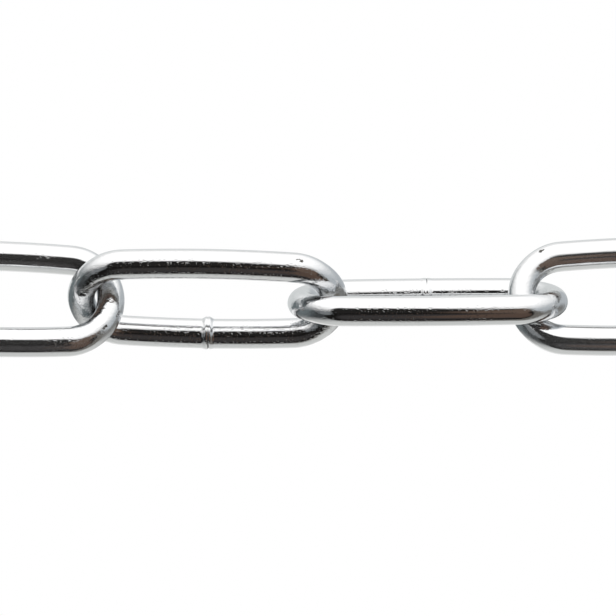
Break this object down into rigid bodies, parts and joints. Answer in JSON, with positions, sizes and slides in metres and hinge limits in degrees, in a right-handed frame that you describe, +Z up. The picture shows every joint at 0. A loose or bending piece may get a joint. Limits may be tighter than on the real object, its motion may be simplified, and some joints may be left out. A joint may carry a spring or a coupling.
{
  "type": "long-link steel chain",
  "caption": "Straight length of bright zinc-plated long-link steel chain: welded oval links of round wire, each hooked in the next and free to swing on it.",
  "frame": {"origin": "middle of the chain's length and width, on the floor that it lies on", "axes": "+X along the chain, +Z up from the floor, +Y across, towards the side of the welds that show"},
  "size_m": [1.0244, 0.0194, 0.0181],
  "materials": {
    "zinc_plate": "bright electroplated zinc, glossy, with fine drawing lines and small nicks"
  },
  "bodies": {
    "link_01": {"link_01": "zinc_plate"},
    "link_02": {"link_02": "zinc_plate"},
    "link_03": {"link_03": "zinc_plate"},
    "link_04": {"link_04": "zinc_plate"},
    "link_05": {"link_05": "zinc_plate"},
    "link_06": {"link_06": "zinc_plate"},
    "link_07": {"link_07": "zinc_plate"},
    "link_08": {"link_08": "zinc_plate"},
    "link_09": {"link_09": "zinc_plate"},
    "link_10": {"link_10": "zinc_plate"},
    "link_11": {"link_11": "zinc_plate"},
    "link_12": {"link_12": "zinc_plate"},
    "link_13": {"link_13": "zinc_plate"},
    "link_14": {"link_14": "zinc_plate"},
    "link_15": {"link_15": "zinc_plate"},
    "link_16": {"link_16": "zinc_plate"},
    "link_17": {"link_17": "zinc_plate"},
    "link_18": {"link_18": "zinc_plate"},
    "link_19": {"link_19": "zinc_plate"},
    "link_20": {"link_20": "zinc_plate"},
    "link_21": {"link_21": "zinc_plate"},
    "link_22": {"link_22": "zinc_plate"},
    "link_23": {"link_23": "zinc_plate"},
    "link_24": {"link_24": "zinc_plate"},
    "link_25": {"link_25": "zinc_plate"},
    "link_26": {"link_26": "zinc_plate"},
    "link_27": {"link_27": "zinc_plate"},
    "link_28": {"link_28": "zinc_plate"},
    "link_29": {"link_29": "zinc_plate"}
  },
  "joints": [
    {"name": "swing_14", "type": "hinge", "parent": "link_15", "child": "link_14", "pos_m": [-0.01985, 0, 0.00793], "axis": [-0.0004, 0.8996, 0.4368], "range_deg": [-90, 90]},
    {"name": "swing_13", "type": "hinge", "parent": "link_14", "child": "link_13", "pos_m": [-0.0543, 0, 0.00896], "axis": [-0.016, 0.6781, -0.7348], "range_deg": [-40, 90]},
    {"name": "swing_12", "type": "hinge", "parent": "link_13", "child": "link_12", "pos_m": [-0.08932, 0, 0.00931], "axis": [-0.0255, -0.5962, -0.8024], "range_deg": [-90, 45]},
    {"name": "swing_11", "type": "hinge", "parent": "link_12", "child": "link_11", "pos_m": [-0.12426, 0, 0.00815], "axis": [0.0065, -0.6675, 0.7445], "range_deg": [-90, 90]},
    {"name": "swing_10", "type": "hinge", "parent": "link_11", "child": "link_10", "pos_m": [-0.15936, 0, 0.00756], "axis": [-0.0009, 0.6968, 0.7173], "range_deg": [-90, 90]},
    {"name": "swing_09", "type": "hinge", "parent": "link_10", "child": "link_09", "pos_m": [-0.1945, 0, 0.00719], "axis": [0.0055, 0.7573, -0.653], "range_deg": [-90, 90]},
    {"name": "swing_08", "type": "hinge", "parent": "link_09", "child": "link_08", "pos_m": [-0.22957, 0, 0.00796], "axis": [-0.0026, -0.6454, -0.7639], "range_deg": [-90, 90]},
    {"name": "swing_07", "type": "hinge", "parent": "link_08", "child": "link_07", "pos_m": [-0.26467, 0, 0.00769], "axis": [0.0051, -0.7334, 0.6798], "range_deg": [-90, 90]},
    {"name": "swing_06", "type": "hinge", "parent": "link_07", "child": "link_06", "pos_m": [-0.2998, 0, 0.00726], "axis": [-0.0037, 0.7303, 0.6831], "range_deg": [-90, 90]},
    {"name": "swing_05", "type": "hinge", "parent": "link_06", "child": "link_05", "pos_m": [-0.3348, 0, 0.00797], "axis": [0.0047, 0.6465, -0.7629], "range_deg": [-90, 90]},
    {"name": "swing_04", "type": "hinge", "parent": "link_05", "child": "link_04", "pos_m": [-0.36976, 0, 0.00729], "axis": [-0.0045, -0.759, -0.6511], "range_deg": [-90, 90]},
    {"name": "swing_03", "type": "hinge", "parent": "link_04", "child": "link_03", "pos_m": [-0.40486, 0, 0.0079], "axis": [0.0031, -0.6932, 0.7207], "range_deg": [-90, 90]},
    {"name": "swing_02", "type": "hinge", "parent": "link_03", "child": "link_02", "pos_m": [-0.44, 0, 0.00761], "axis": [-0.006, 0.6705, 0.7419], "range_deg": [-90, 90]},
    {"name": "swing_01", "type": "hinge", "parent": "link_02", "child": "link_01", "pos_m": [-0.47513, 0, 0.00724], "axis": [0.0014, 0.7657, -0.6432], "range_deg": [-90, 90]},
    {"name": "swing_16", "type": "hinge", "parent": "link_15", "child": "link_16", "pos_m": [0.01979, 0, 0.00821], "axis": [0.0004, -0.9449, 0.3272], "range_deg": [-90, 90]},
    {"name": "swing_17", "type": "hinge", "parent": "link_16", "child": "link_17", "pos_m": [0.05427, 0, 0.00941], "axis": [0.0203, -0.5835, -0.8119], "range_deg": [-25, 90]},
    {"name": "swing_18", "type": "hinge", "parent": "link_17", "child": "link_18", "pos_m": [0.08914, 0, 0.00821], "axis": [0.0039, 0.6437, -0.7652], "range_deg": [-90, 90]},
    {"name": "swing_19", "type": "hinge", "parent": "link_18", "child": "link_19", "pos_m": [0.12411, 0, 0.00743], "axis": [-0.0043, 0.7391, 0.6736], "range_deg": [-90, 90]},
    {"name": "swing_20", "type": "hinge", "parent": "link_19", "child": "link_20", "pos_m": [0.15923, 0, 0.00747], "axis": [0.0047, -0.7241, 0.6897], "range_deg": [-90, 90]},
    {"name": "swing_21", "type": "hinge", "parent": "link_20", "child": "link_21", "pos_m": [0.19434, 0, 0.00779], "axis": [-0.0035, -0.6493, -0.7605], "range_deg": [-90, 90]},
    {"name": "swing_22", "type": "hinge", "parent": "link_21", "child": "link_22", "pos_m": [0.22941, 0, 0.00748], "axis": [0.0051, 0.7617, -0.6479], "range_deg": [-90, 90]},
    {"name": "swing_23", "type": "hinge", "parent": "link_22", "child": "link_23", "pos_m": [0.26455, 0, 0.0077], "axis": [-0.0019, 0.6866, 0.7271], "range_deg": [-90, 90]},
    {"name": "swing_24", "type": "hinge", "parent": "link_23", "child": "link_24", "pos_m": [0.29967, 0, 0.00775], "axis": [0.0063, -0.6765, 0.7364], "range_deg": [-90, 90]},
    {"name": "swing_25", "type": "hinge", "parent": "link_24", "child": "link_25", "pos_m": [0.33471, 0, 0.00707], "axis": [-0.0002, -0.7647, -0.6444], "range_deg": [-90, 90]},
    {"name": "swing_26", "type": "hinge", "parent": "link_25", "child": "link_26", "pos_m": [0.3697, 0, 0.00822], "axis": [0.0066, 0.6551, -0.7555], "range_deg": [-90, 90]},
    {"name": "swing_27", "type": "hinge", "parent": "link_26", "child": "link_27", "pos_m": [0.40477, 0, 0.00743], "axis": [0.0013, 0.7138, 0.7003], "range_deg": [-90, 90]},
    {"name": "swing_28", "type": "hinge", "parent": "link_27", "child": "link_28", "pos_m": [0.43991, 0, 0.00727], "axis": [0.0055, -0.7471, 0.6647], "range_deg": [-90, 90]},
    {"name": "swing_29", "type": "hinge", "parent": "link_28", "child": "link_29", "pos_m": [0.475, 0, 0.00799], "axis": [0.0031, -0.6428, -0.766], "range_deg": [-90, 90]}
  ]
}
